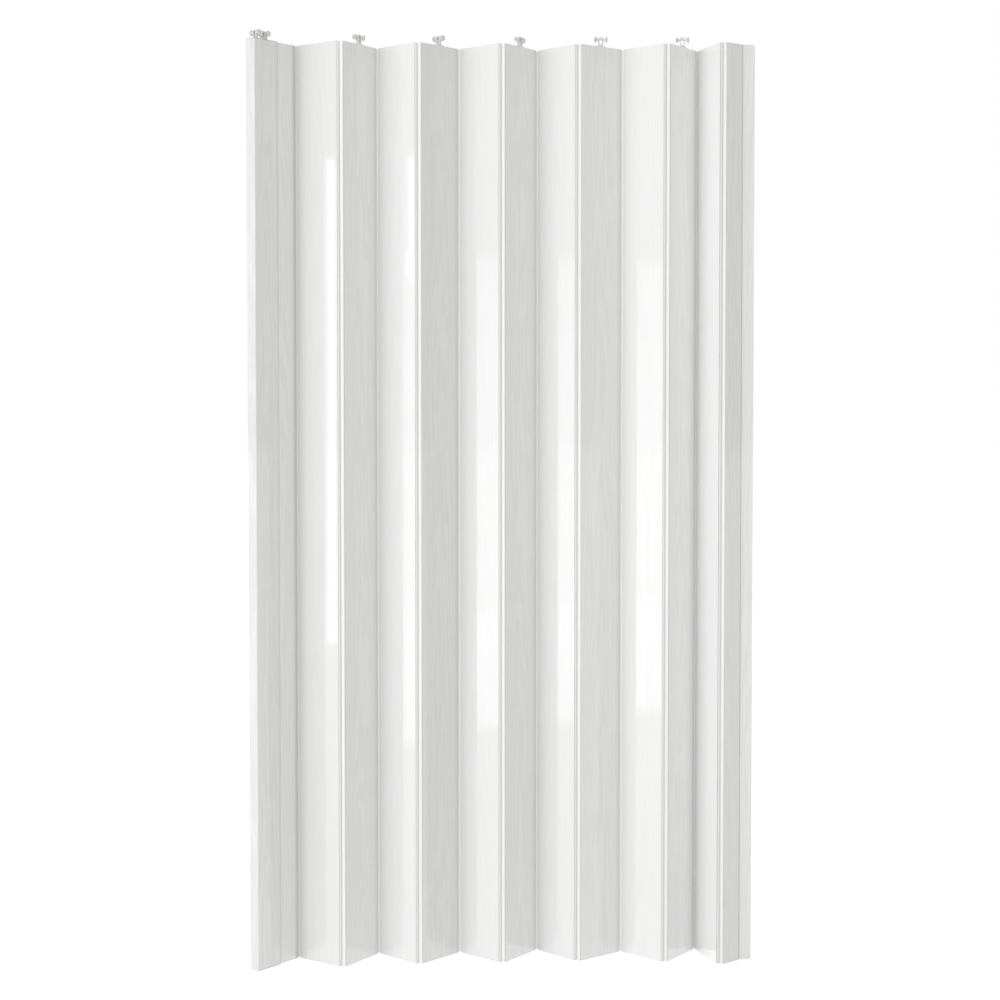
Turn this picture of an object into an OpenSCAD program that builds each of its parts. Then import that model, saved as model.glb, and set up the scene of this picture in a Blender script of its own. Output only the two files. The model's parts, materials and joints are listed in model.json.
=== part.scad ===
// Accordion room divider: hollow slats joined by twin-socket hinge strips, hung from swivelling rollers.
// Frame: the wall face of the jamb is the plane x = 0, the door runs to -X, its front faces -Y, and
// +Z is up from the bottom edges. Millimetres.

/* [Door] */
// Height of every slat, strip, post and jamb
door_height = 2000; // [1800:10:2400]
// Distance between the two hinge beads of a full slat
slat_pitch = 111; // [95:1:130]
// Distance between the beads of the half slat at the wall
wall_half_pitch = 50; // [40:1:60]
// Distance from the bead of the leading half slat to its seam with the post
lead_half_width = 50; // [40:1:60]

/* [Slat section] */
// Thickness of a slat
slat_thick = 7.5; // [7:0.1:7.8]
// Thickness of a slat's skins
slat_skin = 0.9; // [0.7:0.05:1.2]
// Thickness of the webs inside a slat
slat_web = 0.8; // [0.6:0.05:1.2]
// Width of the middle cell, which takes a hanger socket
middle_cell = 24; // [20:0.5:28]
// Radius of a slat's plain outer corners, and of the post's beside it
slat_corner = 1; // [0.6:0.1:1.4]
// How far from a bead the lips start that reach round its socket, on both faces of a slat
lip_start = 1.1; // [1.1:0.1:2]
// Rounding of those lips
lip_round = 0.4; // [0.2:0.05:0.5]

/* [Hinge strip] */
// Distance between the two sockets of a strip
strip_pitch = 8.6; // [8.4:0.1:9.6]
// Radius of the bead down a slat's edge
bead_r = 1.8; // [1.6:0.05:1.9]
// Thickness of a socket's wall
socket_wall = 1.05; // [0.8:0.05:1.1]
// Radial play of a bead in its socket
bead_play = 0.15; // [0.1:0.01:0.25]
// Thickness of a strip's bridge between its sockets
bridge_thick = 1.6; // [1.2:0.05:1.8]
// How far the bridge lies behind the outer sides of the sockets
bridge_set = 2.2; // [1.8:0.05:2.6]
// Thickness of the neck between a bead and its slat
neck_thick = 1.2; // [1:0.05:1.4]
// Play between a slat's edge and the socket that it turns past, at a plain edge
edge_play = 0.5; // [0.4:0.05:0.8]
// The same play at a cupped edge
cup_play = 0.35; // [0.3:0.05:0.5]
// How far a strip stops short of the slats at each end
strip_short = 1.5; // [0.5:0.5:4]
// Flattest angle that a slat reaches, from the line of the door
fold_flat = 4; // [3:0.5:6]
// Steepest angle that a slat reaches, from the line of the door
fold_stacked = 86; // [80:0.5:86]
// Free angle beside the neck at both ends of its swing
neck_free = 6; // [3:0.5:7]

/* [Lead post] */
// Width of the lead post along the slat
post_width = 66; // [56:1:80]
// Depth of the lead post, its front flush with the slat's
post_depth = 28; // [24:0.5:34]
// Wall of the lead post
post_wall = 1.6; // [1.2:0.1:2.2]
// Outer corner radius of the lead post
post_corner = 2.5; // [2:0.1:4]
// Length of the tongue that joins the leading half slat to the post
tongue_reach = 12; // [8:0.5:16]
// Thickness of that tongue
tongue_thick = 4; // [3:0.1:4.2]
// Distance from the seam to the post's nearer rib, in the post
rib_near_at = 26; // [20:0.5:30]
// Distance from the seam to the post's farther rib, in the post
rib_far_at = 47; // [42:0.5:52]
// Width of the snap tab that shows in the post's end face
tab_width = 9; // [5:0.5:14]
// Thickness of the snap tab
tab_thick = 1.8; // [1.2:0.1:2.4]
// Distance from the post's top to the snap tab
tab_drop = 7; // [4:0.5:12]
// Distance from the post's middle to the snap tab, towards the front
tab_side = 5; // [0:0.5:7]
// Thickness of the caps on the post's ends
cap_thick = 2; // [1.5:0.1:3]
// Depth that a cap's skirt reaches into the post
cap_skirt = 22; // [16:1:30]
// How far a cap stays inside the post's outline
cap_inset = 0.5; // [0.2:0.1:1]
// Thickness of the springy arm that carries the snap tab
arm_thick = 1.2; // [0.8:0.1:1.6]

/* [Wall jamb] */
// Distance from the wall face to the jamb's hinge axis
jamb_reach = 27; // [24:0.5:36]
// Depth of the jamb from its front face to its back face
jamb_depth = 28; // [24:0.5:36]
// Wall of the jamb
jamb_wall = 1.8; // [1.4:0.1:2.4]
// Reach of the lip that stiffens the jamb's back flange
jamb_lip = 2; // [1:0.5:4]
// Diameter of the screw holes in the jamb's wall web
screw_hole_d = 5; // [4:0.1:6]
// Distance from each end of the jamb to its first screw hole
screw_end = 100; // [60:5:200]

/* [Rollers] */
// Diameter of a wheel
wheel_d = 12; // [10:0.2:13]
// Width of a wheel's tread
wheel_width = 3.6; // [3:0.1:4.5]
// Distance between the middles of a pair of wheels
wheel_gauge = 24; // [22:0.5:26]
// Radius of the rounded edges of a wheel's tread
tread_round = 0.8; // [0.4:0.1:1.2]
// Wall of a wheel's hub round its axle
hub_wall = 1.4; // [1:0.1:1.6]
// Depth of the dish in a wheel's outer side
dish_depth = 0.8; // [0.4:0.1:1.2]
// Diameter of the axle pins
axle_d = 3; // [2.5:0.1:3.4]
// How far an axle's riveted heads stand proud of its pin, on the radius
rivet_over = 0.7; // [0.4:0.1:1]
// Thickness of an axle's riveted heads
rivet_thick = 0.8; // [0.5:0.1:1.2]
// Height of the axle above the slat's top end
axle_height = 15.5; // [14.5:0.1:18]
// Width of a hanger's head across the axle
head_width = 12; // [11:0.1:13]
// Thickness of a hanger's head along the track
head_thick = 7; // [6:0.1:9]
// Width of a hanger's legs
leg_width = 2.4; // [2:0.1:2.8]
// How far each leg draws in from the head to the foot
leg_draw = 1.7; // [1:0.1:2]
// Thickness of the round base under a hanger's legs
base_thick = 2; // [1.5:0.1:3]
// Thickness of the flange of a hanger socket
flange_thick = 1.6; // [1:0.1:2.4]
// Diameter of a hanger's stem
stem_d = 3; // [2.6:0.1:3.2]
// Depth of a hanger socket inside its slat
socket_depth = 26; // [18:1:36]
// Distance from a stem's lower end to the foot of the socket that holds it
stem_foot = 4; // [2:0.5:6]
// Diameter of the lead carriage's stem
carriage_stem_d = 4; // [3.4:0.1:5]
// Distance between the two axles of the lead carriage
carriage_base = 26; // [20:0.5:30]
// Running play of stems and axles in their bores, on the radius
pin_play = 0.08; // [0.04:0.01:0.1]
// Play between pieces that are pushed together
push_play = 0.15; // [0.1:0.01:0.25]
// Play between faces that turn past each other
face_play = 0.3; // [0.2:0.05:0.5]
// Play of the wheels' press fit on their axle, on the radius
press_play = 0.02; // [0.01:0.01:0.04]

/* [Hidden] */
$fn = 64;
tiny = 0.01;

// Angle of each slat from the line of the door as it hangs, from the leading slat to the wall slat
rest_fold = [45, 37, 51, 44, 42, 43, 48, 48, 32, 45, 50, 74, 34];
// Turn of each hanger's axle from the line of the door, from the second hanger to the last
hanger_turn = [40, -43, 50, 5, -10];

slat_count = len(rest_fold);
hung_slats = [for (i = [3:2:slat_count - 2]) i];
half_thick = slat_thick / 2;
socket_r = bead_r + bead_play;
knuckle_r = socket_r + socket_wall;
edge_start = knuckle_r + edge_play;
cup_r = knuckle_r + cup_play;
neck_half = asin((neck_thick / 2 + bead_play) / socket_r);
swing_margin = neck_half + neck_free;
post_back = half_thick - post_depth;
post_mid = (half_thick + post_back) / 2;
post_end = lead_half_width + post_width;
cell_thick = slat_thick - 2 * slat_skin;
plug_thick = cell_thick - 2 * push_play;
plug_width = middle_cell - 2 * push_play;
flange_over = slat_web;
flange_inset = slat_skin / 2;
wheel_r = wheel_d / 2;
axle_r = axle_d / 2;
stem_r = stem_d / 2;
carriage_stem_r = carriage_stem_d / 2;
hanger_base = flange_thick + face_play;
head_r = head_width / 2;
foot_r = head_r - leg_draw;
eye_r = head_r - leg_width;
eye_foot = foot_r - leg_width;
base_r = head_r - leg_draw / 2;
hub_r = axle_r + hub_wall;
slot_half = tongue_thick / 2 + push_play;
pocket_end = lead_half_width + tongue_reach + 2 * push_play;
rib_near = lead_half_width + rib_near_at;
rib_far = lead_half_width + rib_far_at;
stem_x = (rib_near + post_wall + rib_far) / 2;
tab_y = post_mid + tab_side;
tab_z = door_height - tab_drop - tab_width;
screw_span = door_height - 2 * screw_end;
screw_zs = [for (k = [0:3]) screw_end + k * screw_span / 3];

// Names
function two_digits(i) = i < 10 ? str("0", i) : str(i);
function slat_name(i) = str("panel_", two_digits(i));
function strip_name(i) = str("hinge_strip_", two_digits(i));
function socket_name(k) = str("hanger_socket_", k);
function hanger_name(k) = str("hanger_", k);
function axle_name(k) = str("axle_", k);
function wheels_name(k) = str("wheels_", k);

// Layout of the folds in plan. Slats with an even number run back from a front fold towards the lead
// side, and slats with an odd number run forward from a back fold.
function bead_span(i) = i == slat_count ? wall_half_pitch : slat_pitch;
function run(i) = i % 2 == 0 ? 1 : -1;
function slat_dir(i) = [-cos(rest_fold[i - 1]), run(i) * sin(rest_fold[i - 1])];
function wall_side(i) = i == slat_count ? [-jamb_reach, 0] : lead_side(i + 1) - [strip_pitch, 0];
function lead_side(i) = wall_side(i) + bead_span(i) * slat_dir(i);

// Places children in a slat's own plane: x runs from its wall-side bead to the lead, y to the front
module in_slat(i) {
    p = wall_side(i);
    translate([p.x, p.y, 0]) rotate([0, 0, 180 - run(i) * rest_fold[i - 1]]) children();
}

// Rectangle with round corners, built of squares and circles so that its corners stay true arcs
module soft_rect(x0, x1, y0, y1, r) {
    translate([x0 + r, y0]) square([x1 - x0 - 2 * r, y1 - y0]);
    translate([x0, y0 + r]) square([x1 - x0, y1 - y0 - 2 * r]);
    for (x = [x0 + r, x1 - r], y = [y0 + r, y1 - r]) translate([x, y]) circle(r);
}

// Wedge from the origin between two directions, at most 180 degrees apart
module wedge(from, to, reach) {
    middle = (from + to) / 2;
    polygon([
        [0, 0],
        reach * [cos(from), sin(from)],
        2 * reach * [cos(middle), sin(middle)],
        reach * [cos(to), sin(to)]
    ]);
}

// Bead and neck at a slat's edge, the bead on the origin and the slat towards +X
module bead_and_neck() {
    circle(bead_r);
    translate([0, -neck_thick / 2]) square([edge_start + slat_skin / 2, neck_thick]);
}

// Outline of a slat's body, its corner radius given for each end. The edges beside the given beads are
// cupped: a lip on both faces reaches round the bead's socket
module body_outline(x0, x1, r0, r1, beads) {
    difference() {
        intersection() {
            soft_rect(x0, x1 + slat_pitch, -half_thick, half_thick, r0);
            soft_rect(x0 - slat_pitch, x1, -half_thick, half_thick, r1);
        }
        for (x = beads) translate([x, 0]) circle(cup_r);
    }
}

// Cells of a slat, between walls at the given places
module cells(bounds) {
    for (b = bounds) translate([b[0], -cell_thick / 2]) square([b[1] - b[0], cell_thick]);
}

// Section of a full slat
module slat_section() {
    middle = slat_pitch / 2;
    inner0 = middle - middle_cell / 2;
    inner1 = middle + middle_cell / 2;
    side0 = edge_start + slat_skin;
    side1 = slat_pitch - side0;
    split0 = (side0 + inner0 - slat_web) / 2;
    split1 = (side1 + inner1 + slat_web) / 2;
    bead_and_neck();
    translate([slat_pitch, 0]) mirror([1, 0]) bead_and_neck();
    difference() {
        body_outline(lip_start, slat_pitch - lip_start, lip_round, lip_round, [0, slat_pitch]);
        cells([
            [side0, split0 - slat_web / 2],
            [split0 + slat_web / 2, inner0 - slat_web],
            [inner0, inner1],
            [inner1 + slat_web, split1 - slat_web / 2],
            [split1 + slat_web / 2, side1]
        ]);
    }
}

module full_slat(i) {
    color("#f2f2f0") in_slat(i) linear_extrude(door_height) slat_section();
}

module wall_half_panel() {
    x0 = edge_start;
    x1 = wall_half_pitch - edge_start;
    middle = (x0 + x1) / 2;
    color("#f2f2f0") in_slat(slat_count) linear_extrude(door_height) {
        bead_and_neck();
        translate([wall_half_pitch, 0]) mirror([1, 0]) bead_and_neck();
        difference() {
            body_outline(x0, wall_half_pitch - lip_start, slat_corner, lip_round, [wall_half_pitch]);
            cells([
                [x0 + slat_skin, middle - slat_web / 2],
                [middle + slat_web / 2, x1 - slat_skin]
            ]);
        }
    }
}

// The leading half slat ends in a flat tongue that slides into the post
module lead_half_panel() {
    x0 = edge_start;
    x1 = lead_half_width - push_play;
    middle = (x0 + x1) / 2;
    color("#f2f2f0") in_slat(1) linear_extrude(door_height) {
        bead_and_neck();
        difference() {
            body_outline(lip_start, x1, lip_round, slat_corner, [0]);
            cells([
                [x0 + slat_skin, middle - slat_web / 2],
                [middle + slat_web / 2, x1 - slat_skin]
            ]);
        }
        translate([x1 - slat_skin / 2, -tongue_thick / 2])
            square([tongue_reach + slat_skin / 2, tongue_thick]);
    }
}

// One C shaped socket, open between two directions
module socket_ring(from, to) {
    difference() {
        circle(knuckle_r);
        circle(socket_r);
        wedge(from, to, 2 * knuckle_r);
    }
}

// Hinge strip at a front fold: its sockets open backwards and outwards, and its bridge is at the front
module strip_section() {
    bridge_front = knuckle_r - bridge_set;
    socket_ring(fold_flat - swing_margin, fold_stacked + swing_margin);
    translate([-strip_pitch, 0])
        socket_ring(180 - fold_stacked - swing_margin, 180 - fold_flat + swing_margin);
    difference() {
        translate([-strip_pitch, -bridge_front]) square([strip_pitch, bridge_thick]);
        circle(socket_r + tiny);
        translate([-strip_pitch, 0]) circle(socket_r + tiny);
    }
}

// Strip between slat i and slat i + 1
module hinge_strip(i) {
    p = lead_side(i + 1);
    back_fold = i % 2 == 1;
    color("#fbfbfa") translate([p.x, p.y, strip_short])
        linear_extrude(door_height - 2 * strip_short)
            mirror([0, back_fold ? 1 : 0]) strip_section();
}

// Outline of the post: tight corners beside the half slat, wider ones at the lead end
module post_outline() {
    x0 = lead_half_width;
    intersection() {
        soft_rect(x0, post_end + post_width, post_back, half_thick, slat_corner);
        soft_rect(x0 - post_width, post_end, post_back, half_thick, post_corner);
    }
}

// Hollow post with two ribs and a pocket for the half slat's tongue
module post_section() {
    x0 = lead_half_width;
    difference() {
        post_outline();
        difference() {
            translate([x0 + post_wall, post_back + post_wall])
                square([post_width - 2 * post_wall, post_depth - 2 * post_wall]);
            translate([x0, -slot_half - post_wall])
                square([pocket_end + post_wall - x0, half_thick + slot_half + post_wall]);
            for (x = [rib_near, rib_far]) translate([x, post_back]) square([post_wall, post_depth]);
        }
        translate([x0 - 1, -slot_half]) square([pocket_end - x0 + 1, 2 * slot_half]);
    }
}

module lead_post() {
    color("#f0f0ee") in_slat(1) difference() {
        linear_extrude(door_height) post_section();
        // Window for the top cap's snap tab, in the post's end face
        translate([post_end - post_wall - 1, tab_y, tab_z])
            cube([post_wall + 2, tab_thick + 2 * push_play, tab_width]);
    }
}

// Plug that closes one end of the post; its skirt fills the chamber between the ribs
module cap_body() {
    linear_extrude(cap_thick) soft_rect(
        lead_half_width + cap_inset, post_end - cap_inset,
        post_back + cap_inset, half_thick - cap_inset, post_corner
    );
    translate([rib_near + post_wall + push_play, post_back + post_wall + push_play, -cap_skirt]) cube([
        rib_far - rib_near - post_wall - 2 * push_play,
        post_depth - 2 * post_wall - 2 * push_play,
        cap_skirt + tiny
    ]);
}

module lead_post_top_cap() {
    arm_x = post_end - post_wall - push_play - arm_thick;
    color("#ececea") in_slat(1) difference() {
        union() {
            translate([0, 0, door_height]) cap_body();
            // Springy arm, and its tab in the window of the post's end face
            translate([arm_x, tab_y + push_play, tab_z + push_play]) {
                cube([arm_thick, tab_thick, tab_drop + tab_width]);
                cube([post_wall + arm_thick, tab_thick, tab_width - 2 * push_play]);
            }
        }
        translate([stem_x, post_mid, door_height - cap_skirt + stem_foot / 2])
            cylinder(r = carriage_stem_r + pin_play, h = cap_skirt + cap_thick);
    }
}

module lead_post_bottom_cap() {
    color("#ececea") in_slat(1) mirror([0, 0, 1]) cap_body();
}

// U shaped channel screwed to the wall, with the hinge socket on its front flange
module jamb_section() {
    front = -knuckle_r;
    back = front + jamb_depth;
    swing_from = 180 + fold_flat - swing_margin;
    swing_to = 180 + fold_stacked + swing_margin;
    translate([-jamb_reach, 0]) socket_ring(swing_from, swing_to);
    difference() {
        translate([-jamb_reach, front]) square([jamb_reach, jamb_wall]);
        translate([-jamb_reach, 0]) circle(socket_r + tiny);
        translate([-jamb_reach, 0]) wedge(swing_from, swing_to, 2 * knuckle_r);
    }
    translate([-jamb_wall, front]) square([jamb_wall, jamb_depth]);
    translate([-jamb_reach, back - jamb_wall]) square([jamb_reach, jamb_wall]);
    // Lip that stiffens the back flange
    translate([-jamb_reach, back - jamb_wall - jamb_lip]) square([jamb_wall, jamb_lip + jamb_wall]);
}

module wall_jamb() {
    hole_y = jamb_depth / 2 - knuckle_r;
    color("#f0f0ee") difference() {
        linear_extrude(door_height) jamb_section();
        for (z = screw_zs) translate([-jamb_wall - 1, hole_y, z])
            rotate([0, 90, 0]) cylinder(d = screw_hole_d, h = jamb_wall + 2);
    }
}

// Plug in a slat's middle cell, with a flange on the slat's end and a bore for the stem
module hanger_socket(k) {
    i = hung_slats[k - 2];
    color("#ececea") in_slat(i) translate([slat_pitch / 2, 0, door_height]) difference() {
        union() {
            translate([-plug_width / 2, -plug_thick / 2, -socket_depth])
                cube([plug_width, plug_thick, socket_depth + tiny]);
            linear_extrude(flange_thick) soft_rect(
                -plug_width / 2 - flange_over, plug_width / 2 + flange_over,
                -half_thick + flange_inset, half_thick - flange_inset, slat_corner
            );
        }
        translate([0, 0, -socket_depth + stem_foot / 2])
            cylinder(r = stem_r + pin_play, h = socket_depth + flange_thick);
    }
}

// Loop of a hanger, seen along the track: round head, legs that draw in, open eye; its foot is at the
// height base over the slat's top end
module loop_outline(base) {
    foot = axle_height - base;
    eye_floor = foot - 1.5 * base_thick;
    difference() {
        union() {
            circle(head_r);
            polygon([[-head_r, 0], [head_r, 0], [foot_r, -foot], [-foot_r, -foot]]);
        }
        circle(eye_r);
        polygon([
            [-eye_r, 0], [eye_r, 0],
            [eye_foot, -eye_floor], [-eye_foot, -eye_floor]
        ]);
    }
}

// One loop with its axle bore across, centred on the axle; x runs along the axle
module hanger_loop(base) {
    difference() {
        rotate([90, 0, 0]) translate([0, 0, -head_thick / 2]) linear_extrude(head_thick) loop_outline(base);
        rotate([0, 90, 0]) cylinder(r = axle_r + pin_play, h = head_width + 2, center = true);
    }
}

// Place of hanger k: the middle of its slat's top end, x along its axle
module at_hanger(k) {
    if (k == 1)
        in_slat(1) translate([stem_x, post_mid, door_height]) rotate([0, 0, 90]) children();
    else {
        i = hung_slats[k - 2];
        a = wall_side(i);
        b = lead_side(i);
        translate([(a.x + b.x) / 2, (a.y + b.y) / 2, door_height])
            rotate([0, 0, hanger_turn[k - 2]]) children();
    }
}

module hanger(k) {
    stem_reach = socket_depth - stem_foot;
    color("#f6f6f4") at_hanger(k) {
        translate([0, 0, axle_height]) hanger_loop(hanger_base);
        translate([0, 0, hanger_base]) cylinder(r = base_r, h = base_thick);
        translate([0, 0, -stem_reach]) cylinder(r = stem_r, h = stem_reach + hanger_base + tiny);
    }
}

// The lead carriage joins two loops by a foot bar and a top rail
module carriage() {
    rail_width = 3;
    rail_height = 1.8;
    stem_reach = cap_skirt - stem_foot;
    foot_z = cap_thick + face_play;
    color("#f6f6f4") at_hanger(1) {
        for (s = [-1, 1]) translate([0, s * carriage_base / 2, axle_height]) hanger_loop(foot_z);
        translate([-foot_r, -carriage_base / 2, foot_z]) cube([2 * foot_r, carriage_base, base_thick]);
        translate([-rail_width / 2, -carriage_base / 2, axle_height + head_r - rail_height])
            cube([rail_width, carriage_base, rail_height]);
        translate([0, 0, -stem_reach]) cylinder(r = carriage_stem_r, h = stem_reach + foot_z + tiny);
    }
}

// Riveted pin, centred, along x
module axle_pin() {
    reach = wheel_gauge / 2 + wheel_width / 2 + face_play;
    rotate([0, 90, 0]) {
        cylinder(r = axle_r, h = 2 * reach, center = true);
        for (s = [-1, 1]) translate([0, 0, s * (reach + rivet_thick / 2)])
            cylinder(r = axle_r + rivet_over, h = rivet_thick, center = true);
    }
}

// Wheel with a rounded tread, a dished web and a hub that spaces it from the hanger, turned about z;
// its inner side is at z = 0
module wheel() {
    hub_reach = wheel_gauge / 2 - wheel_width / 2 - head_r - face_play;
    bore = axle_r + press_play;
    flat_r = wheel_r - tread_round;
    translate([0, 0, -hub_reach])
        rotate_extrude() translate([bore, 0]) square([hub_r - bore, hub_reach + tread_round]);
    rotate_extrude() difference() {
        union() {
            translate([bore, 0]) square([flat_r - bore, wheel_width]);
            translate([bore, tread_round]) square([wheel_r - bore, wheel_width - 2 * tread_round]);
            for (z = [tread_round, wheel_width - tread_round]) translate([flat_r, z]) circle(tread_round);
        }
        translate([hub_r, wheel_width - dish_depth]) square([flat_r - hub_r - hub_wall / 2, 1 + dish_depth]);
    }
}

module wheel_pair() {
    for (s = [-1, 1]) rotate([0, s * 90, 0])
        translate([0, 0, wheel_gauge / 2 - wheel_width / 2]) wheel();
}

// Place of an axle: hanger k's own, or one of the carriage's two
module at_axle(k, along) {
    at_hanger(k) translate([0, along, axle_height]) children();
}

module axle(k, along = 0) {
    color("#b9bcc0") at_axle(k, along) axle_pin();
}

module wheels(k, along = 0) {
    color("#ffffff") at_axle(k, along) wheel_pair();
}

wall_jamb();
wall_half_panel();
lead_half_panel();
lead_post();
lead_post_top_cap();
lead_post_bottom_cap();
for (i = [2:slat_count - 1]) full_slat(i);
for (i = [1:slat_count - 1]) hinge_strip(i);
for (k = [2:len(hung_slats) + 1]) hanger_socket(k);
carriage();  // hanger_1
for (k = [2:len(hung_slats) + 1]) hanger(k);
axle(1, carriage_base / 2);  // axle_1a
axle(1, -carriage_base / 2);  // axle_1b
wheels(1, carriage_base / 2);  // wheels_1a
wheels(1, -carriage_base / 2);  // wheels_1b
for (k = [2:len(hung_slats) + 1]) axle(k);
for (k = [2:len(hung_slats) + 1]) wheels(k);
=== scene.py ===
import json
import math

import bpy
from mathutils import Matrix, Vector


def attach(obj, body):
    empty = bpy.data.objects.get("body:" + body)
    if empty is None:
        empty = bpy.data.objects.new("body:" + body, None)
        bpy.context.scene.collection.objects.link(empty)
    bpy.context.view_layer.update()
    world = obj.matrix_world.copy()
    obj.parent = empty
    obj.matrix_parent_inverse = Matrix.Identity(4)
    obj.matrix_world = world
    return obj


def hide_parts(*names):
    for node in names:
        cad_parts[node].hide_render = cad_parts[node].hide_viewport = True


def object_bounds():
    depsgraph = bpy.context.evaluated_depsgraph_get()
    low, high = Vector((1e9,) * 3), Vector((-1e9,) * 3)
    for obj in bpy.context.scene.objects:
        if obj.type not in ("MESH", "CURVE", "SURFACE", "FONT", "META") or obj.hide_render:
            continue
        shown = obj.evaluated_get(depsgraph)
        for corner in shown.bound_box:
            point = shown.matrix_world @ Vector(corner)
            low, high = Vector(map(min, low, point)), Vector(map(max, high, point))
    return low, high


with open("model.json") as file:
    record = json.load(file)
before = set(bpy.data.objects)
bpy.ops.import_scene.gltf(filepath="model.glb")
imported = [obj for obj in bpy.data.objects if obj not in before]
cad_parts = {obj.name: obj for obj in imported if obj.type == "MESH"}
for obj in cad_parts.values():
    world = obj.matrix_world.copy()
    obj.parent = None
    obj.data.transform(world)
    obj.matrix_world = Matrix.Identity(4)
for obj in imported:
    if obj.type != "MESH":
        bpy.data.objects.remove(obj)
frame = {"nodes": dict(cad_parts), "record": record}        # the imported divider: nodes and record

# White folding room divider: hollow slats between hinge strips, a lead post, a wall jamb and
# nylon rollers above. The door runs to -X from the wall, its front looks to -Y.

cadBox = [list(corner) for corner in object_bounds()]
bpy.ops.object.select_all(action="DESELECT")

photoView = {
    "place": (-0.7975, -3.8773, 1.266),   # camera, metres
    "heading": 3.61,                      # degrees to the right of +Y
    "tilt": 2.0,                          # degrees down, which leaves less to the shift
    "focalPixels": 1797,
    "shift": -0.053,
    "imageSide": 1000,
    "sensor": 36,
    "seesTo": 100,
}

studio = {
    "worldOnObject": 0.5,                 # even light from all round
    "worldTint": (1.0, 1.0, 0.955),
    "lampTint": (0.982, 0.984, 1.0),
    "worldSeen": 1.0,                     # what the camera and the gloss see: white
    # Soft lights: place, size, radiance and the point that each faces, then whether matt surfaces see
    # it and whether gloss does
    "softboxes": {
        "frontPanel": ((-0.5, -6, 2.25), (8.4, 4.5), 0.55, (-0.5, 0, 2.25), True, False),
        "leftPanel": ((-5.415, -3.441, 2.25), (4.37, 4.5), 1.88, (-0.5, 0, 2.25), True, False),
        "sidePanel": ((-6.477, -0.523, 2.25), (2.1, 4.5), 0.5, (-0.5, 0, 2.25), True, False),
        "tallStrip": ((-3.05, -0.529, 1.205), (0.028, 1.632), 4.5, (0, -0.529, 1.205), False, True),
        "shortStrip": ((-3.05, -0.635, 1.845), (0.022, 0.42), 5.0, (0, -0.635, 1.845), False, True),
        "midPanel": ((-3.06, -0.89, 1.58), (0.58, 0.3), 1.3, (0, -0.89, 1.58), False, True),
        "lowPanel": ((-3.06, -0.89, 0.715), (0.58, 1.43), 1.6, (0, -0.89, 0.715), False, True),
    },
    "floorDrop": 0.012,                   # the door hangs just clear of the floor
    "floorReach": 60,
    "floorPaper": (0.9, 0.9, 0.9),
    "floorSeen": 0.6,                     # glow that the camera sees, on top of the paper's own white
    "floorInGloss": 1.2,
    "floorOnMatt": 0.17,
}


def addCamera():
    v = photoView
    turn = (math.radians(90 - v["tilt"]), 0, -math.radians(v["heading"]))
    bpy.ops.object.camera_add(location=v["place"], rotation=turn)
    camera = bpy.context.object
    camera.data.sensor_width = v["sensor"]
    camera.data.lens = v["sensor"] * v["focalPixels"] / v["imageSide"]
    camera.data.shift_y = v["shift"]
    camera.data.clip_end = v["seesTo"]
    bpy.context.scene.camera = camera


def freshMaterial(name):
    material = bpy.data.materials.new(name)
    material.use_nodes = True
    material.node_tree.nodes.clear()
    return material, material.node_tree.nodes, material.node_tree.links


def addWorld():
    world = bpy.data.worlds.new("studio")
    bpy.context.scene.world = world
    world.use_nodes = True
    nodes, links = world.node_tree.nodes, world.node_tree.links
    nodes.clear()
    path = nodes.new("ShaderNodeLightPath")
    glossOrCamera = nodes.new("ShaderNodeMath")
    glossOrCamera.operation = "MAXIMUM"
    links.new(path.outputs["Is Camera Ray"], glossOrCamera.inputs[0])
    links.new(path.outputs["Is Glossy Ray"], glossOrCamera.inputs[1])
    orTransmission = nodes.new("ShaderNodeMath")
    orTransmission.operation = "MAXIMUM"
    links.new(glossOrCamera.outputs[0], orTransmission.inputs[0])
    links.new(path.outputs["Is Transmission Ray"], orTransmission.inputs[1])
    lit, seen = nodes.new("ShaderNodeBackground"), nodes.new("ShaderNodeBackground")
    lit.inputs["Strength"].default_value = studio["worldOnObject"]
    seen.inputs["Strength"].default_value = studio["worldSeen"]
    lit.inputs["Color"].default_value = (*studio["worldTint"], 1)
    seen.inputs["Color"].default_value = (1, 1, 1, 1)
    mix, out = nodes.new("ShaderNodeMixShader"), nodes.new("ShaderNodeOutputWorld")
    links.new(orTransmission.outputs[0], mix.inputs[0])
    links.new(lit.outputs[0], mix.inputs[1])
    links.new(seen.outputs[0], mix.inputs[2])
    links.new(mix.outputs[0], out.inputs["Surface"])


def addSoftbox(name, place, size, radiance, lookAt, onMatt, inGloss):
    bpy.ops.object.light_add(type="AREA", location=place)
    lamp = bpy.context.object
    lamp.name = name
    lamp.data.shape = "RECTANGLE"
    lamp.data.size, lamp.data.size_y = size
    lamp.data.color = studio["lampTint"]
    lamp.data.energy = radiance * math.pi * size[0] * size[1]   # watts that give this radiance
    lamp.rotation_euler = (Vector(lookAt) - Vector(place)).to_track_quat("-Z", "Y").to_euler()
    lamp.visible_camera = False
    lamp.visible_diffuse = onMatt
    lamp.visible_glossy = inGloss


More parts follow.
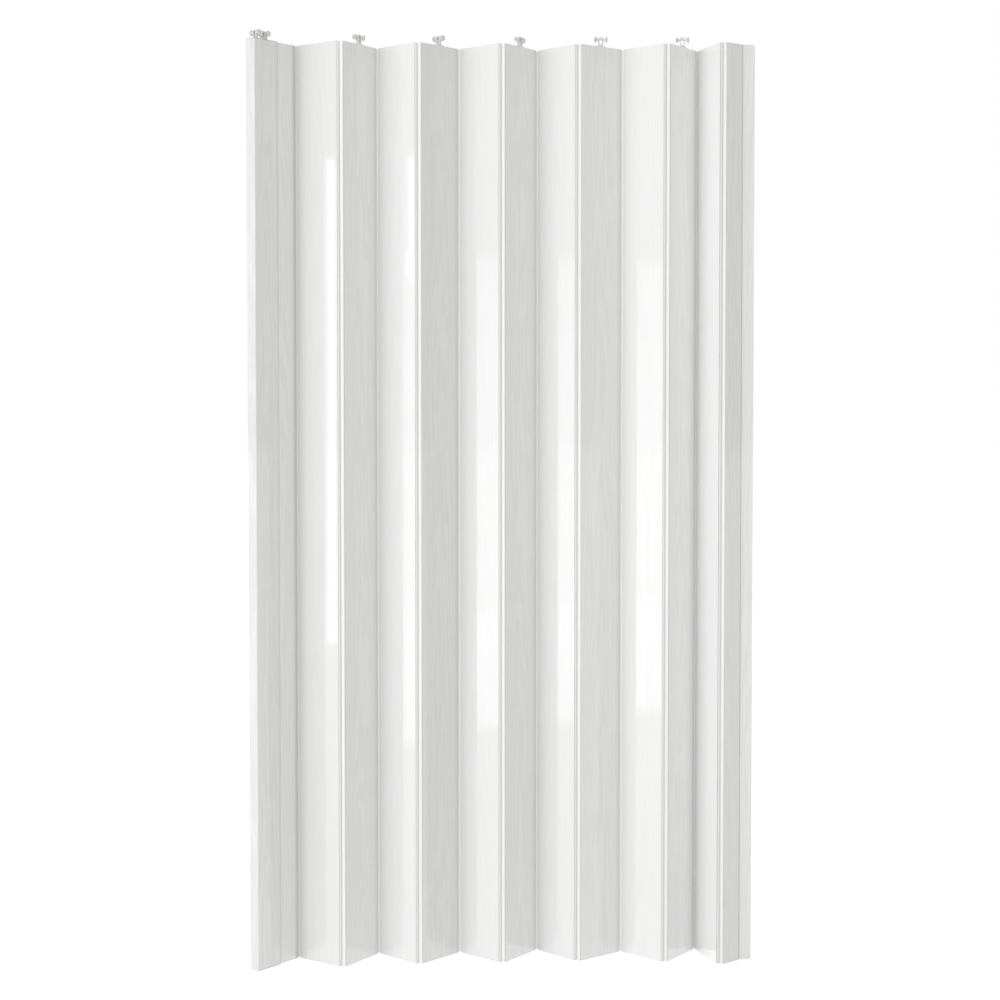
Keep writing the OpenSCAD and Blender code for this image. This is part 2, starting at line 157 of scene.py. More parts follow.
def addFloor():
    floorHeight = cadBox[0][2] - studio["floorDrop"]
    bpy.ops.mesh.primitive_plane_add(size=studio["floorReach"], location=(0, 0, floorHeight))
    floor = bpy.context.object
    floor.name = "floor"
    material, nodes, links = freshMaterial("floorPaper")
    paper = nodes.new("ShaderNodeBsdfDiffuse")
    paper.inputs["Color"].default_value = (*studio["floorPaper"], 1)
    glow = nodes.new("ShaderNodeEmission")
    path = nodes.new("ShaderNodeLightPath")
    total = None
    glows = {"Is Camera Ray": "floorSeen", "Is Glossy Ray": "floorInGloss", "Is Diffuse Ray": "floorOnMatt"}
    for ray, share in glows.items():
        part = nodes.new("ShaderNodeMath")
        part.operation = "MULTIPLY_ADD"
        part.inputs[1].default_value = studio[share]
        part.inputs[2].default_value = 0
        links.new(path.outputs[ray], part.inputs[0])
        if total:
            links.new(total, part.inputs[2])
        total = part.outputs[0]
    links.new(total, glow.inputs["Strength"])
    both, out = nodes.new("ShaderNodeAddShader"), nodes.new("ShaderNodeOutputMaterial")
    links.new(paper.outputs[0], both.inputs[0])
    links.new(glow.outputs[0], both.inputs[1])
    links.new(both.outputs[0], out.inputs["Surface"])
    floor.data.materials.append(material)


bpy.context.scene.view_settings.view_transform = "Standard"
addCamera()
addWorld()
for name, settings in studio["softboxes"].items():
    addSoftbox(name, *settings)
addFloor()
print("studio ready")

# Where each slat lies: its wall-side bead and its heading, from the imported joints

joints = {j["name"]: j for j in frame["record"]["behaviour"]["joints"]}
slatCount = 13


def foldJoint(slat):
    if slat == slatCount:
        return joints["wall_half_slat_fold"]
    return joints["lead_end_fold"] if slat == 1 else joints[f"slat_{slat:02d}_fold"]


def slatPlace(slat):
    start = Vector(foldJoint(slat)["pos_m"])
    if slat > 1:
        along = Vector(joints[f"hinge_strip_{slat - 1:02d}_turn"]["pos_m"]) - start
    else:
        face = next(m for m in frame["record"]["mounts"] if m["name"] == "lead_post_face")
        along = Vector(face["axis"])
    return start, math.atan2(along.y, along.x)


pvc = {
    "tone": (0.90, 0.90, 0.906),
    "grainTint": (1.0, 0.998, 0.994),     # the dark of the grain, as a share of the tone
    "grainDepth": (0.02, 0.055),          # on the even slats, and on the odd ones
    # Painted light and shade: each slat's tone is raised or lowered to match how it is lit
    "slatLitShare": (0.98, 0.94, 1.01, 0.985, 0.945, 0.985, 1.01, 0.995, 0.99, 1.02, 1.065, 1.07, 0.97),
    "postShadeShare": 0.95,                    # painted shade: the post is drawn a little darker than the slats
    "slatMiddle": 0.055, "postMiddle": 0.083, "jambMiddle": 0.05,    # local x of each one's grain figure
    "postSeed": 31, "jambSeed": 20,
    "jambStart": (-0.027, 0, 0),
    "roughness": 0.05, "roughSwing": 0.02,
    "cutRoughness": 0.5,                  # added on the matt saw-cut ends
    "cutFacing": 0.9,                     # faces that look up or down at least this much are cut ends
    "ior": 1.53,
    # painted shade: the colour laid into the valleys and the post's seam
    "paintedShadeColour": (0.60, 0.60, 0.57),
    # These slats' shading leans by so many degrees towards the ridge, from leanFrom metres short of it
    "ridgeLean": {4: 6.5, 6: 7, 8: 9, 10: 6},
    "leanFrom": 0.07, "leanBlend": 0.015,
    # The grain, in metres: fine fibres, flecks, and rings that wander and climb in arches
    "fibreWidth": 0.0017, "fibreStretch": 3, "fibreLength": 0.07,
    "wanderSize": (0.03, 0.05, 0.35),
    "fleckSize": (0.006, 0.02, 0.03),
    "seedShift": (1.37, 0.61, 2.93),      # moves the pattern on from one slat to the next
    "archBend": 1900.0, "ringClimb": 2.6, "ringDrift": 5.0, "ringTurn": 6.283,
    "fibrePart": 0.4, "fleckPart": 0.45, "ringPart": 0.3,
    "rampFrom": 0.42, "rampTo": 0.72,
    "bumpStrength": 0.35, "bumpHeight": 0.000003,
}

# Painted shade in the valleys and in the post's seam: the way out along local x, its width in metres and its
# share
valleyPaintedShade = {
    "leadSlatEdge": 0.003,
    "leadSlat": (1, 0.008, 0.75),
    "inset": 0.006,                       # from a slat's end to where its dust begins
    "wallSide": (1, 0.008, 0.3),
    "leadSide": (-1, 0.02, 0.12),
    "secondSlat": (-1, 0.02, 0.42),
    "postSeam": (1, 0.006, 0.5),
}


def mathNode(nodes, links, operation, first, second=None):
    node = nodes.new("ShaderNodeMath")
    node.operation = operation
    for socket, value in zip(node.inputs, (first, second)):
        if isinstance(value, (int, float)):
            socket.default_value = value
        elif value is not None:
            links.new(value, socket)
    return node.outputs[0]


def stretched(nodes, links, vector, size):
    node = nodes.new("ShaderNodeVectorMath")
    node.operation = "DIVIDE"
    links.new(vector, node.inputs[0])
    node.inputs[1].default_value = size
    return node.outputs[0]


def noiseNode(nodes, links, vector, detail=2, roughness=0.5):
    node = nodes.new("ShaderNodeTexNoise")
    links.new(vector, node.inputs["Vector"])
    node.inputs["Scale"].default_value = 1
    node.inputs["Detail"].default_value = detail
    node.inputs["Roughness"].default_value = roughness
    return node.outputs["Fac"]


def grainedSkin(name, start, heading, centre, seed, depth, share=1.0, lean=0, shadeBand=None):
    # Embossed wood grain in a slat's own plane: x across it, z up it
    material, nodes, links = freshMaterial(name)
    coords = nodes.new("ShaderNodeTexCoord").outputs["Object"]
    place = nodes.new("ShaderNodeMapping")
    place.vector_type = "TEXTURE"
    place.inputs["Location"].default_value = start
    place.inputs["Rotation"].default_value = (0, 0, heading)
    links.new(coords, place.inputs["Vector"])
    local = place.outputs[0]
    shift = nodes.new("ShaderNodeVectorMath")
    shift.operation = "ADD"
    links.new(local, shift.inputs[0])
    shift.inputs[1].default_value = [seed * step for step in pvc["seedShift"]]
    fibreSize = (pvc["fibreWidth"], pvc["fibreWidth"] * pvc["fibreStretch"], pvc["fibreLength"])
    fibre = noiseNode(nodes, links, stretched(nodes, links, shift.outputs[0], fibreSize),
                      detail=3, roughness=0.6)
    wander = noiseNode(nodes, links, stretched(nodes, links, shift.outputs[0], pvc["wanderSize"]))
    fleck = noiseNode(nodes, links, stretched(nodes, links, shift.outputs[0], pvc["fleckSize"]),
                      detail=3, roughness=0.65)
    # Cathedral figure: arches that climb the slat's middle
    parts = nodes.new("ShaderNodeSeparateXYZ")
    links.new(local, parts.inputs[0])
    across = mathNode(nodes, links, "SUBTRACT", parts.outputs["X"], centre)
    squared = mathNode(nodes, links, "MULTIPLY", across, across)
    arch = mathNode(nodes, links, "MULTIPLY", squared, pvc["archBend"])
    climb = mathNode(nodes, links, "MULTIPLY", parts.outputs["Z"], pvc["ringClimb"])
    drift = mathNode(nodes, links, "MULTIPLY", wander, pvc["ringDrift"])
    phase = mathNode(nodes, links, "ADD", mathNode(nodes, links, "ADD", arch, climb), drift)
    rings = mathNode(nodes, links, "SINE", mathNode(nodes, links, "MULTIPLY", phase, pvc["ringTurn"]))
    ringShare = mathNode(nodes, links, "MULTIPLY_ADD", rings, 0.5)       # from -1..1 to 0..1
    ringShare.node.inputs[2].default_value = 0.5
    mixed = mathNode(nodes, links, "MULTIPLY_ADD", ringShare, pvc["ringPart"])
    flecked = mathNode(nodes, links, "MULTIPLY_ADD", fleck, pvc["fleckPart"])
    links.new(mathNode(nodes, links, "MULTIPLY", fibre, pvc["fibrePart"]), flecked.node.inputs[2])
    links.new(flecked, mixed.node.inputs[2])
    # The tone times share: painted light and shade for how brightly the slat is lit
    tone = nodes.new("ShaderNodeValToRGB")
    dark, light = tone.color_ramp.elements
    dark.position, light.position = pvc["rampFrom"], pvc["rampTo"]
    dark.color = (*[c * share * tint * (1 - depth) for c, tint in zip(pvc["tone"], pvc["grainTint"])], 1)
    light.color = (*[c * share for c in pvc["tone"]], 1)
    links.new(mixed, tone.inputs["Fac"])
    bump = nodes.new("ShaderNodeBump")
    bump.inputs["Strength"].default_value = pvc["bumpStrength"]
    bump.inputs["Distance"].default_value = pvc["bumpHeight"]
    links.new(mixed, bump.inputs["Height"])
    if lean:
        crown = nodes.new("ShaderNodeBump")
        crown.inputs["Strength"].default_value = 1
        crown.inputs["Distance"].default_value = 1
        near = mathNode(nodes, links, "MULTIPLY_ADD", parts.outputs["X"], -1.0)
        near.node.inputs[2].default_value = pvc["leanFrom"]
        bent = mathNode(nodes, links, "SMOOTH_MAX", near, 0.0)
        bent.node.inputs[2].default_value = pvc["leanBlend"]
        fall = mathNode(nodes, links, "MULTIPLY", bent, -math.tan(math.radians(lean)))
        links.new(fall, crown.inputs["Height"])
        links.new(crown.outputs["Normal"], bump.inputs["Normal"])
    rough = mathNode(nodes, links, "MULTIPLY_ADD", fibre, pvc["roughSwing"])
    rough.node.inputs[2].default_value = pvc["roughness"] - pvc["roughSwing"] / 2
    faces = nodes.new("ShaderNodeSeparateXYZ")
    links.new(nodes.new("ShaderNodeNewGeometry").outputs["Normal"], faces.inputs[0])
    upright = mathNode(nodes, links, "ABSOLUTE", faces.outputs["Z"])
    cut = mathNode(nodes, links, "GREATER_THAN", upright, pvc["cutFacing"])
    finish = mathNode(nodes, links, "MULTIPLY_ADD", cut, pvc["cutRoughness"])
    links.new(rough, finish.node.inputs[2])
    shader, out = nodes.new("ShaderNodeBsdfPrincipled"), nodes.new("ShaderNodeOutputMaterial")
    shader.inputs["IOR"].default_value = pvc["ior"]
    colour = tone.outputs["Color"]
    # Painted shade: the tone darkens towards a valley or seam edge
    if shadeBand:
        edge, outward, width, thickness = shadeBand
        far = mathNode(nodes, links, "MULTIPLY_ADD", parts.outputs["X"], -outward / width)
        far.node.inputs[2].default_value = 1 + edge * outward / width
        cover = mathNode(nodes, links, "MULTIPLY", far, thickness)
        cover.node.use_clamp = True
        paintedShadeColour = nodes.new("ShaderNodeMixRGB")
        links.new(cover, paintedShadeColour.inputs["Fac"])
        links.new(colour, paintedShadeColour.inputs["Color1"])
        paintedShadeColour.inputs["Color2"].default_value = (*pvc["paintedShadeColour"], 1)
        colour = paintedShadeColour.outputs["Color"]
    links.new(colour, shader.inputs["Base Color"])
    links.new(finish, shader.inputs["Roughness"])
    links.new(bump.outputs["Normal"], shader.inputs["Normal"])
    links.new(shader.outputs[0], out.inputs["Surface"])
    return material


# Smooth plastics. Each one's mottle is how much darker its tone gets, its drift the mottle's size in metres
plastics = {
    "stripWhite": {"colour": (0.98, 0.98, 0.98), "roughness": 0.15, "mottle": 0.02, "ior": 1.5,
                   "drift": (0.004, 0.004, 0.05)},
    "naturalNylon": {"colour": (0.84, 0.84, 0.82), "roughness": 0.35, "mottle": 0.04, "ior": 1.53,
                     "drift": (0.002, 0.002, 0.002)},
    # Grey nylon, drawn this dark partly as painted shade for the slot round the post's top tab
    "greyNylonCapsShaded": {"colour": (0.66, 0.66, 0.65), "roughness": 0.4, "mottle": 0.04, "ior": 1.53,
                      "drift": (0.003, 0.003, 0.003)},
    "wheelNylon": {"colour": (0.88, 0.88, 0.87), "roughness": 0.22, "mottle": 0.03, "ior": 1.53,
                   "drift": (0.0012, 0.0012, 0.0012)},
    "wheelWorn": (0.62, 0.62, 0.61),
    "rampFrom": 0.3, "rampTo": 0.7,
    "roughSwing": 0.08,
}

# Painted shade on the hinge strips: a grey lip on each ridge strip and a grey side on one valley strip
strip = {
    "shadeGrey": (0.80, 0.80, 0.80),
    "offMiddle": 0.0005,                  # metres from the strip's middle to where its painted shade ends
    "shadedValley": 1,                      # the one valley strip that has painted shade too
}

steel = {
    "colour": (0.60, 0.61, 0.63), "roughness": 0.32,
    "cloudSize": (0.0015, 0.0015, 0.0015), "cloudDark": 0.86, "roughSwing": 0.16,
}


def plainSkin(name, colour, roughness, mottle, ior, drift):
    # Smooth moulded plastic with a faint drift of tone and gloss
    material, nodes, links = freshMaterial(name)
    coords = nodes.new("ShaderNodeTexCoord").outputs["Object"]
    cloud = noiseNode(nodes, links, stretched(nodes, links, coords, drift), detail=3, roughness=0.55)
    tone = nodes.new("ShaderNodeValToRGB")
    dark, light = tone.color_ramp.elements
    dark.position, light.position = plastics["rampFrom"], plastics["rampTo"]
    dark.color = (*[c * (1 - mottle) for c in colour], 1)
    light.color = (*colour, 1)
    links.new(cloud, tone.inputs["Fac"])
    rough = mathNode(nodes, links, "MULTIPLY_ADD", cloud, plastics["roughSwing"])
    rough.node.inputs[2].default_value = roughness - plastics["roughSwing"] / 2
    shader, out = nodes.new("ShaderNodeBsdfPrincipled"), nodes.new("ShaderNodeOutputMaterial")
    shader.inputs["IOR"].default_value = ior
    links.new(tone.outputs["Color"], shader.inputs["Base Color"])
    links.new(rough, shader.inputs["Roughness"])
    links.new(shader.outputs[0], out.inputs["Surface"])
    return material


def stripSkin(name, axis, shadeBelow):
    # White, and grey as painted shade where the axis is below the limit given: the lead-side lip of a
    # strip that stands in front, the outward side of one in a valley
    material = plainSkin(name, **plastics["stripWhite"])
    if shadeBelow is None:
        return material
    nodes, links = material.node_tree.nodes, material.node_tree.links
    shader = next(n for n in nodes if n.type == "BSDF_PRINCIPLED")
    white = shader.inputs["Base Color"].links[0].from_socket
    place = nodes.new("ShaderNodeSeparateXYZ")
    links.new(nodes.new("ShaderNodeTexCoord").outputs["Object"], place.inputs[0])
    shadeGrey = nodes.new("ShaderNodeMixRGB")
    links.new(mathNode(nodes, links, "LESS_THAN", place.outputs[axis], shadeBelow), shadeGrey.inputs["Fac"])
    links.new(white, shadeGrey.inputs["Color1"])
    shadeGrey.inputs["Color2"].default_value = (*strip["shadeGrey"], 1)
    links.new(shadeGrey.outputs["Color"], shader.inputs["Base Color"])
    return material


def wornSkin(name, worn, settings):
    # Moulded nylon that rolling has greyed where its "rolling" attribute says so
    material = plainSkin(name, **settings)
    nodes, links = material.node_tree.nodes, material.node_tree.links
    shader = next(n for n in nodes if n.type == "BSDF_PRINCIPLED")
    toneLink = shader.inputs["Base Color"].links[0].from_socket
    band = nodes.new("ShaderNodeAttribute")
    band.attribute_name = "rolling"
    mix = nodes.new("ShaderNodeMixRGB")
    links.new(band.outputs["Fac"], mix.inputs["Fac"])
    links.new(toneLink, mix.inputs["Color1"])
    mix.inputs["Color2"].default_value = (*worn, 1)
    links.new(mix.outputs["Color"], shader.inputs["Base Color"])
    return material


def turnedSteel(name):
    # Zinc-plated pin, a little cloudy in tone and gloss
    material, nodes, links = freshMaterial(name)
    coords = nodes.new("ShaderNodeTexCoord").outputs["Object"]
    cloud = noiseNode(nodes, links, stretched(nodes, links, coords, steel["cloudSize"]),
                      detail=4, roughness=0.6)
    tone = nodes.new("ShaderNodeValToRGB")
    dark, light = tone.color_ramp.elements
    dark.color = (*[c * steel["cloudDark"] for c in steel["colour"]], 1)
    light.color = (*steel["colour"], 1)
    links.new(cloud, tone.inputs["Fac"])
    rough = mathNode(nodes, links, "MULTIPLY_ADD", cloud, steel["roughSwing"])
    rough.node.inputs[2].default_value = steel["roughness"] - steel["roughSwing"] / 2
    shader, out = nodes.new("ShaderNodeBsdfPrincipled"), nodes.new("ShaderNodeOutputMaterial")
    shader.inputs["Metallic"].default_value = 1
    links.new(tone.outputs["Color"], shader.inputs["Base Color"])
    links.new(rough, shader.inputs["Roughness"])
    links.new(shader.outputs[0], out.inputs["Surface"])
    return material


def dress(node, material):
    mesh = frame["nodes"][node].data
    mesh.materials.clear()
    mesh.materials.append(material)


def span(node, start, heading):
    # Where a CAD node begins and ends along its slat
    along = Vector((math.cos(heading), math.sin(heading), 0))
    reach = [(point.co - start).dot(along) for point in frame["nodes"][node].data.vertices]
    return min(reach), max(reach)


def paintedShadeAt(slat, start, heading):
    # Painted valley shade: edge, way out, width and share. Odd slats have their valley at the wall side, even
    # ones at the lead
    if slat == 1:
        return valleyPaintedShade["leadSlatEdge"], *valleyPaintedShade["leadSlat"]
    if slat == slatCount:
        return None
    begin, end = span(f"panel_{slat:02d}", start, heading)
    if slat % 2:
        return begin + valleyPaintedShade["inset"], *valleyPaintedShade["wallSide"]
    return end - valleyPaintedShade["inset"], *valleyPaintedShade["secondSlat" if slat == 2 else "leadSide"]


for slat in range(1, slatCount + 1):
    start, heading = slatPlace(slat)
    depth = pvc["grainDepth"][slat % 2]
    skin = grainedSkin(f"grainedPvc{slat:02d}", start, heading, pvc["slatMiddle"], slat, depth,
                       pvc["slatLitShare"][slat - 1], pvc["ridgeLean"].get(slat, 0),
                       paintedShadeAt(slat, start, heading))
    if slat == 1:
        dress("lead_half_panel", skin)
        seam = span("lead_post", start, heading)[0]
        # The post gets painted shade along its seam with the lead slat
        dress("lead_post", grainedSkin("grainedPvcPost", start, heading, pvc["postMiddle"], pvc["postSeed"],
                                       depth, pvc["postShadeShare"], shadeBand=(seam, *valleyPaintedShade["postSeam"])))
    elif slat == slatCount:
        dress("wall_half_panel", skin)
    else:
        dress(f"panel_{slat:02d}", skin)
dress("wall_jamb", grainedSkin("grainedPvcJamb", pvc["jambStart"], 0, pvc["jambMiddle"], pvc["jambSeed"],
                               pvc["grainDepth"][1]))
nylonSkin = plainSkin("naturalNylon", **plastics["naturalNylon"])
shadedCapSkin = plainSkin("greyNylonCapsShaded", **plastics["greyNylonCapsShaded"])
wheelSkin = wornSkin("wheelNylon", plastics["wheelWorn"], plastics["wheelNylon"])
steelSkin = turnedSteel("axleSteel")
for name in frame["nodes"]:
    if name.startswith("hinge_strip"):
        number = int(name[-2:])
        points = [point.co[number % 2] for point in frame["nodes"][name].data.vertices]
        middle = (min(points) + max(points)) / 2
        # Painted shade: the ridge strips and the one valley strip get grey on one side
        allWhite = number % 2 and number != strip["shadedValley"]
        shadeBelow = None if allWhite else middle - strip["offMiddle"]
        dress(name, stripSkin(f"stripPvc{number:02d}", "XY"[number % 2], shadeBelow))
    elif name.startswith("hanger_socket"):
        dress(name, nylonSkin)
    elif name.endswith("cap"):
        dress(name, shadedCapSkin)
print("finishes on")

# Rollers. Each kind is modelled once, centred on its axle with the axle along X, then copied to its places

mm = 0.001
rimAngle = 60                             # degrees: bevels that soften only a turned part's rims
smoothAngle = 32
facing, squareOn = 0.9, 0.99              # how far a face's normal has to look along an axis

# All in mm
hangerShape = {
    "headRadius": 6, "legWidth": 2.4, "legDraw": 1.7, "thick": 7,
    "axleHeight": 15.5,                   # above the slat's top end
    "footRise": 1.9,                      # the loop's foot above the slat's top end
    "baseRadius": 5.15, "baseThick": 2, "baseRound": 0.4,
    "footBlock": 3, "footInset": 0.6, "footNarrow": 1, "footRound": 0.3,
    "stemRadius": 1.5, "stemDepth": 22, "stemRound": 0.4,
    "stemOverlap": 0.2,                   # how far a stem reaches into what it carries
    "bossRadius": 2.7, "bossStart": 4.2, "bossRound": 0.15,
    "channelRim": 0.55, "channelDepth": 0.6,
    "archSteps": 18, "edge": 0.22,
}

carriageShape = {
    "loopSpacing": 26, "footRise": 2.3,
    "barThick": 2, "barRound": 0.2, "trayRim": 0.8, "trayDepth": 0.6,
    "railWidth": 3, "railThick": 1.8, "railRim": 0.4, "railGroove": 0.4, "railRound": 0.2,
    "stemRadius": 2, "stemDepth": 18, "stemRound": 0.5,
    "nutRadius": 3.4, "nutThick": 1.6, "nutRound": 0.25, "nutAngle": 30,
}

wheelShape = {
    "radius": 6, "width": 3.6, "gauge": 24, "treadRound": 0.8,
    "rimFlat": 0.7, "dishDepth": 0.8, "dishDraft": 0.12,
    "hubRadius": 2.9, "hubReach": 3.9, "hubWall": 0.4, "hubStep": 0.5,
    "spokes": 6, "spokeLift": 0.45, "spokeShare": 4,    # a spoke fills a quarter of its span
    "edge": 0.08, "edgeAngle": 55,
    "sideArea": 1e-5,                     # m2: only the wheel's whole side is larger
}

axleShape = {
    "radius": 1.5, "length": 28.2,
    "headRadius": 2.2, "headThick": 0.8, "headRound": 0.45,
    "headRim": 0.5, "dimpleDraft": 0.3, "dimple": 0.25,
    "headArea": 2e-6,                     # m2: only the head's outer face is larger
}


def clearSelection():
    if bpy.context.object and bpy.context.object.mode != "OBJECT":
        bpy.ops.object.mode_set(mode="OBJECT")
    bpy.ops.object.select_all(action="DESELECT")


def settle():
    bpy.ops.object.transform_apply(location=True, rotation=True, scale=True)
    return bpy.context.object


def block(size, place):
    clearSelection()
    bpy.ops.mesh.primitive_cube_add(size=1, location=[p * mm for p in place])
    bpy.context.object.scale = [side * mm for side in size]
    return settle()


def rod(radius, length, place, along="Z", sides=32):
    clearSelection()
    turn = (0, math.pi / 2, 0) if along == "X" else (0, 0, 0)
    bpy.ops.mesh.primitive_cylinder_add(vertices=sides, radius=radius * mm, depth=length * mm,
                                        location=[p * mm for p in place], rotation=turn)
    return settle()


def pickFaces(test):
    # Edit mode with only the faces that pass the test selected
    if bpy.context.object.mode != "OBJECT":
        bpy.ops.object.mode_set(mode="OBJECT")
    mesh = bpy.context.object.data
    bpy.context.tool_settings.mesh_select_mode = (False, False, True)
    mesh.vertices.foreach_set("select", [False] * len(mesh.vertices))
    mesh.edges.foreach_set("select", [False] * len(mesh.edges))
    mesh.polygons.foreach_set("select", [bool(test(face)) for face in mesh.polygons])
    bpy.ops.object.mode_set(mode="EDIT")


def softenEdges(width, segments=2, angle=40):
    if bpy.context.object.mode != "OBJECT":
        bpy.ops.object.mode_set(mode="OBJECT")
    bpy.ops.object.modifier_add(type="BEVEL")
    bevel = bpy.context.object.modifiers[-1]
    bevel.width, bevel.segments = width * mm, segments
    bevel.limit_method, bevel.angle_limit = "ANGLE", math.radians(angle)
    bpy.ops.object.modifier_apply(modifier=bevel.name)
    return bpy.context.object


def joined(parts, name):
    clearSelection()
    for part in parts:
        part.select_set(True)
    bpy.context.view_layer.objects.active = parts[0]
    bpy.ops.object.join()
    bpy.ops.object.shade_smooth_by_angle(angle=math.radians(smoothAngle))
    piece = bpy.context.object
    piece.name = piece.data.name = name
    return piece


def makeLoop(footRise, shift=0):
    # A bar swept up one leg, round the head and down the other leg, with moulded channels in its sides
    h = hangerShape
    legMid = h["headRadius"] - h["legWidth"] / 2
    drop = h["axleHeight"] - footRise
    clearSelection()
    bpy.ops.mesh.primitive_plane_add(size=1, location=((legMid - h["legDraw"]) * mm, 0, -drop * mm))
    bpy.context.object.scale = (h["legWidth"] * mm, h["thick"] * mm, 1)
    loop = settle()
    bpy.ops.object.mode_set(mode="EDIT")
    bpy.ops.mesh.select_all(action="SELECT")
    bpy.ops.mesh.extrude_region_move(TRANSFORM_OT_translate={"value": (h["legDraw"] * mm, 0, drop * mm)})
    bpy.ops.mesh.spin(steps=h["archSteps"], angle=math.pi, center=(0, 0, 0), axis=(0, 1, 0))
    bpy.ops.mesh.extrude_region_move(TRANSFORM_OT_translate={"value": (h["legDraw"] * mm, 0, -drop * mm)})
    bpy.ops.mesh.select_all(action="SELECT")
    bpy.ops.mesh.normals_make_consistent(inside=False)
    pickFaces(lambda face: abs(face.normal.y) > facing)
    bpy.ops.mesh.inset(thickness=h["channelRim"] * mm, depth=-h["channelDepth"] * mm)
    softenEdges(h["edge"])
    bosses = []
    bossLength = h["headRadius"] - h["bossStart"]
    for side in (-1, 1):
        rod(h["bossRadius"], bossLength, (side * (h["bossStart"] + bossLength / 2), 0, 0), "X")
        bosses.append(softenEdges(h["bossRound"], angle=rimAngle))
    footWidth = 2 * (h["headRadius"] - h["legDraw"]) - h["footInset"]
    foot = block((footWidth, h["thick"] - h["footNarrow"], h["footBlock"]),
                 (0, 0, h["footBlock"] / 2 - drop))
    softenEdges(h["footRound"])
    pieces = [loop, foot] + bosses
    for piece in pieces:
        piece.location.y = shift * mm
    clearSelection()
    for piece in pieces:
        piece.select_set(True)
    bpy.context.view_layer.objects.active = loop
    settle()
    return pieces


def makeHanger():
    h = hangerShape
    drop = h["axleHeight"] - h["footRise"]
    parts = makeLoop(h["footRise"])
    base = rod(h["baseRadius"], h["baseThick"], (0, 0, h["baseThick"] / 2 - drop), sides=40)
    softenEdges(h["baseRound"], segments=3, angle=rimAngle)
    stemLength = h["stemDepth"] + h["footRise"] + h["stemOverlap"]
    stem = rod(h["stemRadius"], stemLength, (0, 0, h["stemOverlap"] - drop - stemLength / 2), sides=28)
    softenEdges(h["stemRound"], angle=rimAngle)
    return joined(parts + [base, stem], "hangerPattern")


def makeCarriage():
    c, h = carriageShape, hangerShape
    drop = h["axleHeight"] - c["footRise"]
    parts = makeLoop(c["footRise"], c["loopSpacing"] / 2) + makeLoop(c["footRise"], -c["loopSpacing"] / 2)
    footWidth = 2 * (h["headRadius"] - h["legDraw"])
    bar = block((footWidth, c["loopSpacing"], c["barThick"]), (0, 0, c["barThick"] / 2 - drop))
    pickFaces(lambda face: face.normal.z > facing)
    bpy.ops.mesh.inset(thickness=c["trayRim"] * mm, depth=-c["trayDepth"] * mm)
    softenEdges(c["barRound"])
    rail = block((c["railWidth"], c["loopSpacing"], c["railThick"]),
                 (0, 0, h["headRadius"] - c["railThick"] / 2))
    pickFaces(lambda face: abs(face.normal.x) > facing)
    bpy.ops.mesh.inset(thickness=c["railRim"] * mm, depth=-c["railGroove"] * mm)
    softenEdges(c["railRound"])
    nutMiddle = c["barThick"] + c["nutThick"] / 2 - c["trayDepth"] - drop
    nut = rod(c["nutRadius"], c["nutThick"], (0, 0, nutMiddle), sides=6)
    softenEdges(c["nutRound"], angle=c["nutAngle"])
    stemLength = c["stemDepth"] + c["footRise"] + h["stemOverlap"]
    stem = rod(c["stemRadius"], stemLength, (0, 0, h["stemOverlap"] - drop - stemLength / 2), sides=32)
    softenEdges(c["stemRound"], angle=rimAngle)
    return joined(parts + [bar, rail, nut, stem], "carriagePattern")


def makeWheelPair():
    w = wheelShape
    rod(w["radius"], w["width"], (w["gauge"] / 2, 0, 0), "X", sides=48)
    softenEdges(w["treadRound"], segments=4, angle=rimAngle)
    flat = (w["radius"] - w["treadRound"]) * mm
    dish = flat - w["rimFlat"] * mm - w["dishDraft"] * mm
    pickFaces(lambda face: face.normal.x > squareOn and face.area > w["sideArea"])
    bpy.ops.mesh.inset(thickness=w["rimFlat"] * mm, depth=0)
    bpy.ops.mesh.inset(thickness=w["dishDraft"] * mm, depth=-w["dishDepth"] * mm)
    bpy.ops.mesh.inset(thickness=dish - w["hubRadius"] * mm, depth=0)
    bpy.ops.mesh.inset(thickness=w["dishDraft"] * mm, depth=w["dishDepth"] * mm)
    # Spokes: short spans of the dish's floor raised between rim and hub
    floorAt = (w["gauge"] / 2 + w["width"] / 2 - w["dishDepth"]) * mm
    spokeSpan = 2 * math.pi / w["spokes"]
    closeTo = 1e-5                        # metres

    def onSpoke(face):
        angle = math.atan2(face.center.z, face.center.y) % spokeSpan
        onFloor = face.normal.x > squareOn and abs(face.center.x - floorAt) < closeTo
        return onFloor and angle < spokeSpan / w["spokeShare"]

    pickFaces(onSpoke)
    bpy.ops.mesh.extrude_region_move(TRANSFORM_OT_translate={"value": (w["spokeLift"] * mm, 0, 0)})
    pickFaces(lambda face: face.normal.x < -squareOn and face.area > w["sideArea"])
    bpy.ops.mesh.inset(thickness=flat - (w["hubRadius"] + w["hubWall"]) * mm, depth=0)
    bpy.ops.mesh.inset(thickness=w["hubWall"] * mm, depth=w["hubStep"] * mm)
    hubLength = (w["hubStep"] - w["hubReach"]) * mm
    bpy.ops.mesh.extrude_region_move(TRANSFORM_OT_translate={"value": (hubLength, 0, 0)})
    wheel = softenEdges(w["edge"], segments=1, angle=w["edgeAngle"])
    clearSelection()
    wheel.select_set(True)
    bpy.ops.object.duplicate()
    other = bpy.context.object
    bpy.ops.transform.rotate(value=math.pi, orient_axis="Z", center_override=(0, 0, 0))
    settle()
    pair = joined([wheel, other], "wheelPattern")
    rolling = pair.data.attributes.new("rolling", "FLOAT", "POINT")
    worn = (w["radius"] - w["treadRound"] / 2) * mm
    rolling.data.foreach_set("value", [
        1.0 if math.hypot(point.co.y, point.co.z) > worn else 0.0 for point in pair.data.vertices])
    return pair


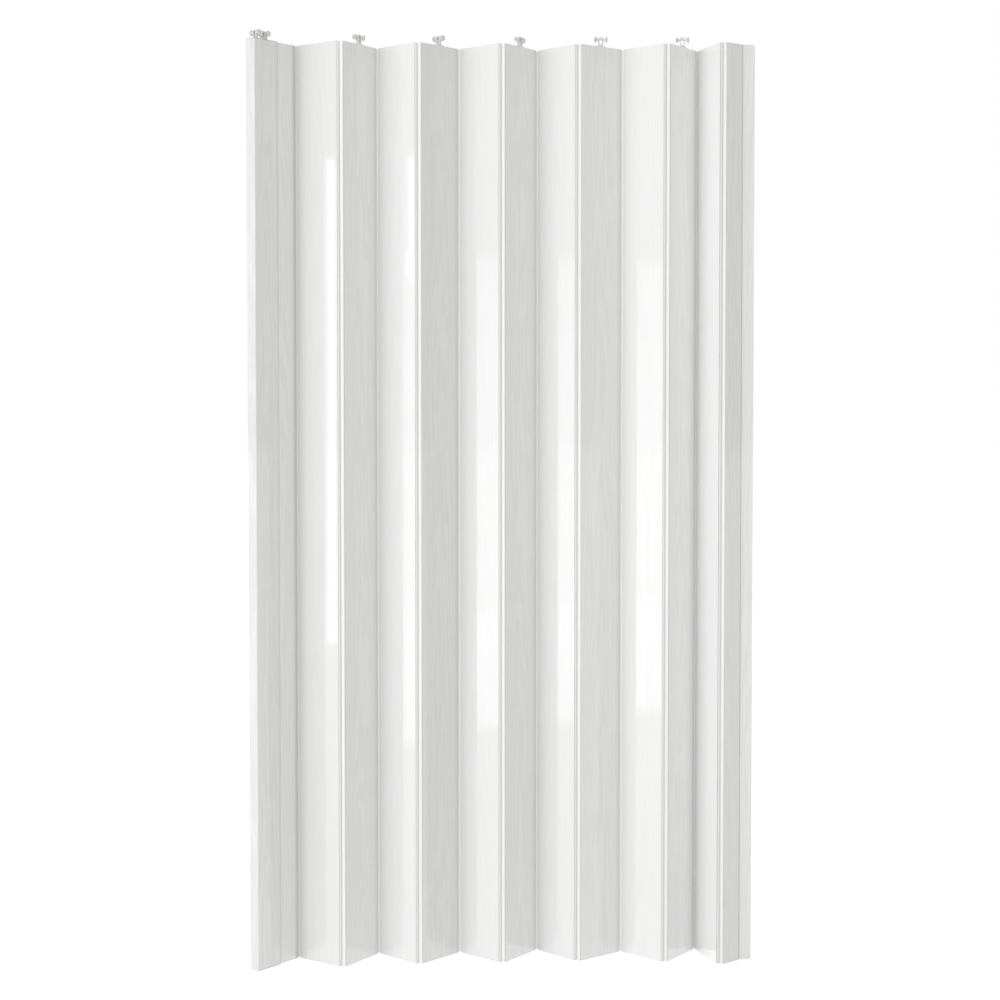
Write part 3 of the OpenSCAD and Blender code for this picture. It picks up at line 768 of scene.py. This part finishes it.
def makeAxle():
    a = axleShape
    parts = [rod(a["radius"], a["length"], (0, 0, 0), "X", sides=28)]
    headMiddle = (a["length"] + a["headThick"]) / 2
    for side in (-1, 1):
        head = rod(a["headRadius"], a["headThick"], (side * headMiddle, 0, 0), "X", sides=36)
        softenEdges(a["headRound"], segments=3, angle=rimAngle)
        pickFaces(lambda face: face.normal.x * side > squareOn and face.area > a["headArea"])
        bpy.ops.mesh.inset(thickness=a["headRim"] * mm, depth=0)
        bpy.ops.mesh.inset(thickness=a["dimpleDraft"] * mm, depth=-a["dimple"] * mm)
        bpy.ops.object.mode_set(mode="OBJECT")
        parts.append(head)
    return joined(parts, "axlePattern")


def placeCopy(pattern, name, node, body, skin, place, heading):
    piece = pattern.copy()
    piece.data = pattern.data.copy()
    piece.name = piece.data.name = name
    piece.data.transform(Matrix.Translation(place) @ Matrix.Rotation(heading, 4, "Z"))
    bpy.context.collection.objects.link(piece)
    piece.data.materials.clear()
    piece.data.materials.append(skin)
    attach(piece, body)
    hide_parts(node)


hangerPattern, carriagePattern = makeHanger(), makeCarriage()
wheelPattern, axlePattern = makeWheelPair(), makeAxle()
axleRise = Vector((0, 0, hangerShape["axleHeight"] * mm))
rollerCount = 6
for number in range(1, rollerCount + 1):
    for suffix in (("a", "b") if number == 1 else ("",)):
        roll = joints[f"wheels_{number}{suffix}_roll"]
        heading = math.atan2(roll["axis"][1], roll["axis"][0])
        spot, body = Vector(roll["pos_m"]), f"wheelset_{number}{suffix}"
        placeCopy(wheelPattern, f"wheelPair{number}{suffix}", f"wheels_{number}{suffix}", body,
                  wheelSkin, spot, heading)
        placeCopy(axlePattern, f"axlePin{number}{suffix}", f"axle_{number}{suffix}", body,
                  steelSkin, spot, heading)
    standing = Vector(joints[f"roller_{number}_swivel"]["pos_m"]) + axleRise
    placeCopy(carriagePattern if number == 1 else hangerPattern, f"rollerFrame{number}", f"hanger_{number}",
              f"roller_{number}", nylonSkin, standing, heading)
for pattern in (hangerPattern, carriagePattern, wheelPattern, axlePattern):
    bpy.data.objects.remove(pattern)
print("rollers built")
